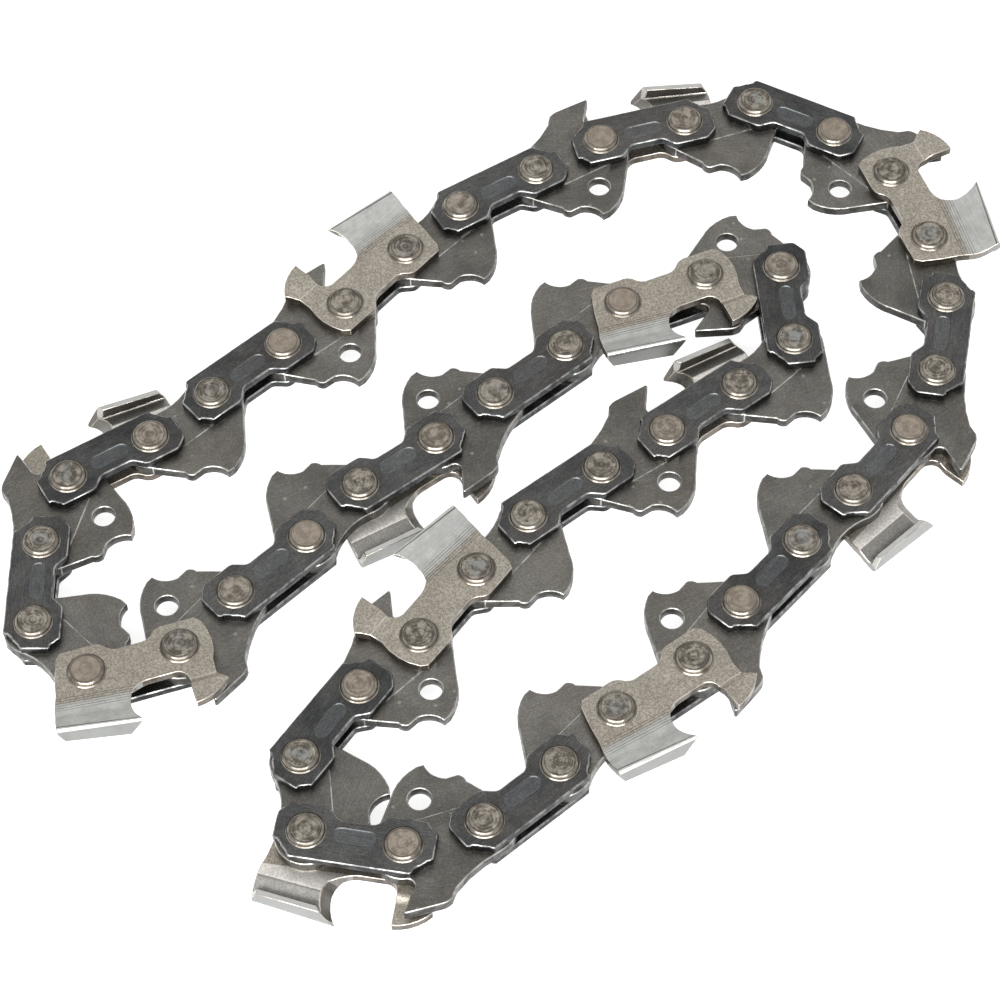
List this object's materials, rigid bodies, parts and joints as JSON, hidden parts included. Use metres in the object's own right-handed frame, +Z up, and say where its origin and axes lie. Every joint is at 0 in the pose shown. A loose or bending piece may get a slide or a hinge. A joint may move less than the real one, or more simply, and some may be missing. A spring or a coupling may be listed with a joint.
{
  "type": "chainsaw chain loop",
  "caption": "Closed loop of low-profile saw chain: riveted drive links, tie straps and alternating cutters, lying folded on its side.",
  "frame": {"origin": "middle of the outline of the loop as it lies, on the surface that it rests on", "axes": "+Z up, across the chain and along every rivet; +X to the right of the loop as pictured and +Y away from the viewer"},
  "size_m": [0.1116, 0.1066, 0.0058],
  "materials": {
    "link_steel": "blued and oiled steel with brown-grey rivet heads",
    "cutter_steel": "satin warm grey cutter steel with ground silver teeth"
  },
  "bodies": {
    "left_cutter_1": {"left_cutter_1": "cutter_steel", "left_cutter_1_rivets_and_strap": "link_steel"},
    "drive_link_01": {"drive_link_01": "link_steel"},
    "tie_strap_pair_01": {"tie_strap_pair_01": "link_steel"},
    "drive_link_02": {"drive_link_02": "link_steel"},
    "right_cutter_1": {"right_cutter_1": "cutter_steel", "right_cutter_1_rivets_and_strap": "link_steel"},
    "drive_link_03": {"drive_link_03": "link_steel"},
    "tie_strap_pair_02": {"tie_strap_pair_02": "link_steel"},
    "drive_link_04": {"drive_link_04": "link_steel"},
    "left_cutter_2": {"left_cutter_2": "cutter_steel", "left_cutter_2_rivets_and_strap": "link_steel"},
    "drive_link_05": {"drive_link_05": "link_steel"},
    "tie_strap_pair_03": {"tie_strap_pair_03": "link_steel"},
    "drive_link_06": {"drive_link_06": "link_steel"},
    "right_cutter_2": {"right_cutter_2": "cutter_steel", "right_cutter_2_rivets_and_strap": "link_steel"},
    "drive_link_07": {"drive_link_07": "link_steel"},
    "tie_strap_pair_04": {"tie_strap_pair_04": "link_steel"},
    "drive_link_08": {"drive_link_08": "link_steel"},
    "left_cutter_3": {"left_cutter_3": "cutter_steel", "left_cutter_3_rivets_and_strap": "link_steel"},
    "drive_link_09": {"drive_link_09": "link_steel"},
    "tie_strap_pair_05": {"tie_strap_pair_05": "link_steel"},
    "drive_link_10": {"drive_link_10": "link_steel"},
    "right_cutter_3": {"right_cutter_3": "cutter_steel", "right_cutter_3_rivets_and_strap": "link_steel"},
    "drive_link_11": {"drive_link_11": "link_steel"},
    "tie_strap_pair_06": {"tie_strap_pair_06": "link_steel"},
    "drive_link_12": {"drive_link_12": "link_steel"},
    "left_cutter_4": {"left_cutter_4": "cutter_steel", "left_cutter_4_rivets_and_strap": "link_steel"},
    "drive_link_13": {"drive_link_13": "link_steel"},
    "tie_strap_pair_07": {"tie_strap_pair_07": "link_steel"},
    "drive_link_14": {"drive_link_14": "link_steel"},
    "right_cutter_4": {"right_cutter_4": "cutter_steel", "right_cutter_4_rivets_and_strap": "link_steel"},
    "drive_link_15": {"drive_link_15": "link_steel"},
    "tie_strap_pair_08": {"tie_strap_pair_08": "link_steel"},
    "drive_link_16": {"drive_link_16": "link_steel"},
    "left_cutter_5": {"left_cutter_5": "cutter_steel", "left_cutter_5_rivets_and_strap": "link_steel"},
    "drive_link_17": {"drive_link_17": "link_steel"},
    "tie_strap_pair_09": {"tie_strap_pair_09": "link_steel"},
    "drive_link_18": {"drive_link_18": "link_steel"},
    "right_cutter_5": {"right_cutter_5": "cutter_steel", "right_cutter_5_rivets_and_strap": "link_steel"},
    "drive_link_19": {"drive_link_19": "link_steel"},
    "tie_strap_pair_10": {"tie_strap_pair_10": "link_steel"},
    "drive_link_20": {"drive_link_20": "link_steel"},
    "left_cutter_6": {"left_cutter_6": "cutter_steel", "left_cutter_6_rivets_and_strap": "link_steel"},
    "drive_link_21": {"drive_link_21": "link_steel"},
    "tie_strap_pair_11": {"tie_strap_pair_11": "link_steel"},
    "drive_link_22": {"drive_link_22": "link_steel"},
    "right_cutter_6": {"right_cutter_6": "cutter_steel", "right_cutter_6_rivets_and_strap": "link_steel"},
    "drive_link_23": {"drive_link_23": "link_steel"},
    "tie_strap_pair_12": {"tie_strap_pair_12": "link_steel"},
    "drive_link_24": {"drive_link_24": "link_steel"}
  },
  "joints": [
    {"name": "rivet_02", "type": "hinge", "parent": "left_cutter_1", "child": "drive_link_01", "pos_m": [-0.03955, 0.0057, 0.00292], "axis": [0, 0, 1], "range_deg": [-106, 84]},
    {"name": "rivet_03", "type": "hinge", "parent": "drive_link_01", "child": "tie_strap_pair_01", "pos_m": [-0.03284, 0.0111, 0.00292], "axis": [0, 0, 1], "range_deg": [-94, 96]},
    {"name": "rivet_04", "type": "hinge", "parent": "tie_strap_pair_01", "child": "drive_link_02", "pos_m": [-0.02491, 0.01724, 0.00292], "axis": [0, 0, 1], "range_deg": [-93, 97]},
    {"name": "rivet_05", "type": "hinge", "parent": "drive_link_02", "child": "right_cutter_1", "pos_m": [-0.01793, 0.02228, 0.00292], "axis": [0, 0, 1], "range_deg": [-105, 85]},
    {"name": "rivet_06", "type": "hinge", "parent": "right_cutter_1", "child": "drive_link_03", "pos_m": [-0.01093, 0.02946, 0.00292], "axis": [0, 0, 1], "range_deg": [-91, 99]},
    {"name": "rivet_07", "type": "hinge", "parent": "drive_link_03", "child": "tie_strap_pair_02", "pos_m": [-0.00451, 0.0352, 0.00292], "axis": [0, 0, 1], "range_deg": [-81, 109]},
    {"name": "rivet_08", "type": "hinge", "parent": "tie_strap_pair_02", "child": "drive_link_04", "pos_m": [0.00436, 0.03988, 0.00292], "axis": [0, 0, 1], "range_deg": [-94, 96]},
    {"name": "rivet_09", "type": "hinge", "parent": "drive_link_04", "child": "left_cutter_2", "pos_m": [0.01205, 0.04376, 0.00292], "axis": [0, 0, 1], "range_deg": [-80, 110]},
    {"name": "rivet_10", "type": "hinge", "parent": "left_cutter_2", "child": "drive_link_05", "pos_m": [0.02187, 0.04581, 0.00292], "axis": [0, 0, 1], "range_deg": [-98, 92]},
    {"name": "rivet_11", "type": "hinge", "parent": "drive_link_05", "child": "tie_strap_pair_03", "pos_m": [0.03019, 0.04801, 0.00292], "axis": [0, 0, 1], "range_deg": [-50.1, 139.9]},
    {"name": "rivet_12", "type": "hinge", "parent": "tie_strap_pair_03", "child": "drive_link_06", "pos_m": [0.03887, 0.04299, 0.00292], "axis": [0, 0, 1], "range_deg": [-78.1, 111.9]},
    {"name": "rivet_13", "type": "hinge", "parent": "drive_link_06", "child": "right_cutter_2", "pos_m": [0.04474, 0.03669, 0.00292], "axis": [0, 0, 1], "range_deg": [-71.1, 118.9]},
    {"name": "rivet_14", "type": "hinge", "parent": "right_cutter_2", "child": "drive_link_07", "pos_m": [0.04802, 0.02721, 0.00292], "axis": [0, 0, 1], "range_deg": [-82, 108]},
    {"name": "rivet_15", "type": "hinge", "parent": "drive_link_07", "child": "tie_strap_pair_04", "pos_m": [0.04894, 0.01865, 0.00292], "axis": [0, 0, 1], "range_deg": [-76.1, 113.9]},
    {"name": "rivet_16", "type": "hinge", "parent": "tie_strap_pair_04", "child": "drive_link_08", "pos_m": [0.04672, 0.00887, 0.00292], "axis": [0, 0, 1], "range_deg": [-81, 109]},
    {"name": "rivet_17", "type": "hinge", "parent": "drive_link_08", "child": "left_cutter_3", "pos_m": [0.04284, 0.00119, 0.00292], "axis": [0, 0, 1], "range_deg": [-79, 111]},
    {"name": "rivet_18", "type": "hinge", "parent": "left_cutter_3", "child": "drive_link_09", "pos_m": [0.03603, -0.00618, 0.00292], "axis": [0, 0, 1], "range_deg": [-93, 97]},
    {"name": "rivet_19", "type": "hinge", "parent": "drive_link_09", "child": "tie_strap_pair_05", "pos_m": [0.02996, -0.01229, 0.00292], "axis": [0, 0, 1], "range_deg": [-95, 95]},
    {"name": "rivet_20", "type": "hinge", "parent": "tie_strap_pair_05", "child": "drive_link_10", "pos_m": [0.0229, -0.01941, 0.00292], "axis": [0, 0, 1], "range_deg": [-100, 90]},
    {"name": "rivet_21", "type": "hinge", "parent": "drive_link_10", "child": "right_cutter_3", "pos_m": [0.01739, -0.02602, 0.00292], "axis": [0, 0, 1], "range_deg": [-78, 112]},
    {"name": "rivet_22", "type": "hinge", "parent": "right_cutter_3", "child": "drive_link_11", "pos_m": [0.009, -0.03152, 0.00292], "axis": [0, 0, 1], "range_deg": [-106, 84]},
    {"name": "rivet_01", "type": "hinge", "parent": "left_cutter_1", "child": "drive_link_24", "pos_m": [-0.04842, 0.00103, 0.00292], "axis": [0, 0, 1], "range_deg": [-139, 51]},
    {"name": "rivet_48", "type": "hinge", "parent": "drive_link_24", "child": "tie_strap_pair_12", "pos_m": [-0.05111, -0.00715, 0.00292], "axis": [0, 0, 1], "range_deg": [-110, 80]},
    {"name": "rivet_47", "type": "hinge", "parent": "tie_strap_pair_12", "child": "drive_link_23", "pos_m": [-0.05167, -0.01716, 0.00292], "axis": [0, 0, 1], "range_deg": [-140.2, 49.8]},
    {"name": "rivet_46", "type": "hinge", "parent": "drive_link_23", "child": "right_cutter_6", "pos_m": [-0.0459, -0.02356, 0.00292], "axis": [0, 0, 1], "range_deg": [-157.2, 32.8]},
    {"name": "rivet_45", "type": "hinge", "parent": "right_cutter_6", "child": "drive_link_22", "pos_m": [-0.03618, -0.0211, 0.00292], "axis": [0, 0, 1], "range_deg": [-128, 62]},
    {"name": "rivet_44", "type": "hinge", "parent": "drive_link_22", "child": "tie_strap_pair_11", "pos_m": [-0.03033, -0.01478, 0.00292], "axis": [0, 0, 1], "range_deg": [-88, 102]},
    {"name": "rivet_43", "type": "hinge", "parent": "tie_strap_pair_11", "child": "drive_link_21", "pos_m": [-0.02268, -0.00831, 0.00292], "axis": [0, 0, 1], "range_deg": [-102, 88]},
    {"name": "rivet_42", "type": "hinge", "parent": "drive_link_21", "child": "left_cutter_6", "pos_m": [-0.01683, -0.00199, 0.00292], "axis": [0, 0, 1], "range_deg": [-81, 109]},
    {"name": "rivet_41", "type": "hinge", "parent": "left_cutter_6", "child": "drive_link_20", "pos_m": [-0.00844, 0.00351, 0.00292], "axis": [0, 0, 1], "range_deg": [-101, 89]},
    {"name": "rivet_40", "type": "hinge", "parent": "drive_link_20", "child": "tie_strap_pair_10", "pos_m": [-0.00176, 0.00895, 0.00292], "axis": [0, 0, 1], "range_deg": [-92, 98]},
    {"name": "rivet_39", "type": "hinge", "parent": "tie_strap_pair_10", "child": "drive_link_19", "pos_m": [0.00633, 0.01488, 0.00292], "axis": [0, 0, 1], "range_deg": [-98, 92]},
    {"name": "rivet_38", "type": "hinge", "parent": "drive_link_19", "child": "right_cutter_5", "pos_m": [0.013, 0.02032, 0.00292], "axis": [0, 0, 1], "range_deg": [-75, 115]},
    {"name": "rivet_37", "type": "hinge", "parent": "right_cutter_5", "child": "drive_link_18", "pos_m": [0.02247, 0.02362, 0.00292], "axis": [0, 0, 1], "range_deg": [-78.9, 111.1]},
    {"name": "rivet_36", "type": "hinge", "parent": "drive_link_18", "child": "tie_strap_pair_09", "pos_m": [0.03107, 0.0241, 0.00292], "axis": [0, 0, 1], "range_deg": [-1, 42]},
    {"name": "rivet_35", "type": "hinge", "parent": "tie_strap_pair_09", "child": "drive_link_17", "pos_m": [0.03156, 0.01408, 0.00292], "axis": [0, 0, 1], "range_deg": [-43, 147]},
    {"name": "rivet_34", "type": "hinge", "parent": "drive_link_17", "child": "left_cutter_5", "pos_m": [0.02505, 0.00845, 0.00292], "axis": [0, 0, 1], "range_deg": [-88, 102]},
    {"name": "rivet_33", "type": "hinge", "parent": "left_cutter_5", "child": "drive_link_16", "pos_m": [0.01671, 0.00288, 0.00292], "axis": [0, 0, 1], "range_deg": [-92, 98]},
    {"name": "rivet_32", "type": "hinge", "parent": "drive_link_16", "child": "tie_strap_pair_08", "pos_m": [0.00931, -0.00153, 0.00292], "axis": [0, 0, 1], "range_deg": [-99, 91]},
    {"name": "rivet_31", "type": "hinge", "parent": "tie_strap_pair_08", "child": "drive_link_15", "pos_m": [0.00107, -0.00725, 0.00292], "axis": [0, 0, 1], "range_deg": [-108, 82]},
    {"name": "rivet_30", "type": "hinge", "parent": "drive_link_15", "child": "right_cutter_4", "pos_m": [-0.00471, -0.01363, 0.00292], "axis": [0, 0, 1], "range_deg": [-98, 92]},
    {"name": "rivet_29", "type": "hinge", "parent": "right_cutter_4", "child": "drive_link_14", "pos_m": [-0.01105, -0.0214, 0.00292], "axis": [0, 0, 1], "range_deg": [-86, 104]},
    {"name": "rivet_28", "type": "hinge", "parent": "drive_link_14", "child": "tie_strap_pair_07", "pos_m": [-0.01747, -0.02713, 0.00292], "axis": [0, 0, 1], "range_deg": [-105, 85]},
    {"name": "rivet_27", "type": "hinge", "parent": "tie_strap_pair_07", "child": "drive_link_13", "pos_m": [-0.02368, -0.03501, 0.00292], "axis": [0, 0, 1], "range_deg": [-136.1, 53.9]},
    {"name": "rivet_26", "type": "hinge", "parent": "drive_link_13", "child": "left_cutter_4", "pos_m": [-0.02325, -0.04361, 0.00292], "axis": [0, 0, 1], "range_deg": [-169.3, 20.7]},
    {"name": "rivet_25", "type": "hinge", "parent": "left_cutter_4", "child": "drive_link_12", "pos_m": [-0.01347, -0.04585, 0.00292], "axis": [0, 0, 1], "range_deg": [-123, 67]},
    {"name": "rivet_24", "type": "hinge", "parent": "drive_link_12", "child": "tie_strap_pair_06", "pos_m": [-0.00516, -0.04359, 0.00292], "axis": [0, 0, 1], "range_deg": [-117.1, 72.9]}
  ],
  "couplings": [
    {"joint": "rivet_02", "follows": "rivet_36", "ratio": 0.17426},
    {"joint": "rivet_03", "follows": "rivet_36", "ratio": -0.07527},
    {"joint": "rivet_04", "follows": "rivet_36", "ratio": 0.08976},
    {"joint": "rivet_05", "follows": "rivet_36", "ratio": -0.13708},
    {"joint": "rivet_06", "follows": "rivet_36", "ratio": 0.07521},
    {"joint": "rivet_07", "follows": "rivet_36", "ratio": -0.187},
    {"joint": "rivet_08", "follows": "rivet_36", "ratio": 0.07519},
    {"joint": "rivet_09", "follows": "rivet_36", "ratio": -0.16281},
    {"joint": "rivet_10", "follows": "rivet_36", "ratio": 0.07624},
    {"joint": "rivet_11", "follows": "rivet_36", "ratio": -0.07517},
    {"joint": "rivet_12", "follows": "rivet_36", "ratio": 0.30809},
    {"joint": "rivet_13", "follows": "rivet_36", "ratio": 0.19921},
    {"joint": "rivet_14", "follows": "rivet_36", "ratio": 0.40247},
    {"joint": "rivet_15", "follows": "rivet_36", "ratio": -0.07468},
    {"joint": "rivet_16", "follows": "rivet_36", "ratio": 0.32486},
    {"joint": "rivet_17", "follows": "rivet_36", "ratio": -0.07513},
    {"joint": "rivet_18", "follows": "rivet_36", "ratio": 0.07528},
    {"joint": "rivet_19", "follows": "rivet_36", "ratio": -0.30163},
    {"joint": "rivet_20", "follows": "rivet_36", "ratio": 0.07479},
    {"joint": "rivet_21", "follows": "rivet_36", "ratio": 0.0744},
    {"joint": "rivet_22", "follows": "rivet_36", "ratio": 0.07489},
    {"joint": "rivet_01", "follows": "rivet_36", "ratio": 0.07515},
    {"joint": "rivet_48", "follows": "rivet_36", "ratio": 0.07471},
    {"joint": "rivet_47", "follows": "rivet_36", "ratio": -0.07519},
    {"joint": "rivet_46", "follows": "rivet_36", "ratio": 0.07475},
    {"joint": "rivet_45", "follows": "rivet_36", "ratio": -0.07498},
    {"joint": "rivet_44", "follows": "rivet_36", "ratio": -0.08225},
    {"joint": "rivet_43", "follows": "rivet_36", "ratio": 0.08151},
    {"joint": "rivet_42", "follows": "rivet_36", "ratio": -0.07534},
    {"joint": "rivet_41", "follows": "rivet_36", "ratio": -0.07492},
    {"joint": "rivet_40", "follows": "rivet_36", "ratio": 0.07488},
    {"joint": "rivet_39", "follows": "rivet_36", "ratio": -0.07502},
    {"joint": "rivet_38", "follows": "rivet_36", "ratio": -0.15115},
    {"joint": "rivet_37", "follows": "rivet_36", "ratio": -0.09751},
    {"joint": "rivet_35", "follows": "rivet_36", "ratio": 0.57393},
    {"joint": "rivet_34", "follows": "rivet_36", "ratio": -0.18998},
    {"joint": "rivet_33", "follows": "rivet_36", "ratio": -0.07504},
    {"joint": "rivet_32", "follows": "rivet_36", "ratio": -0.10473},
    {"joint": "rivet_31", "follows": "rivet_36", "ratio": -0.07503},
    {"joint": "rivet_30", "follows": "rivet_36", "ratio": -0.13387},
    {"joint": "rivet_29", "follows": "rivet_36", "ratio": 0.07514},
    {"joint": "rivet_28", "follows": "rivet_36", "ratio": 0.07461},
    {"joint": "rivet_27", "follows": "rivet_36", "ratio": -0.07528},
    {"joint": "rivet_26", "follows": "rivet_36", "ratio": -0.1696},
    {"joint": "rivet_25", "follows": "rivet_36", "ratio": 0.13411},
    {"joint": "rivet_24", "follows": "rivet_36", "ratio": -0.07503}
  ]
}
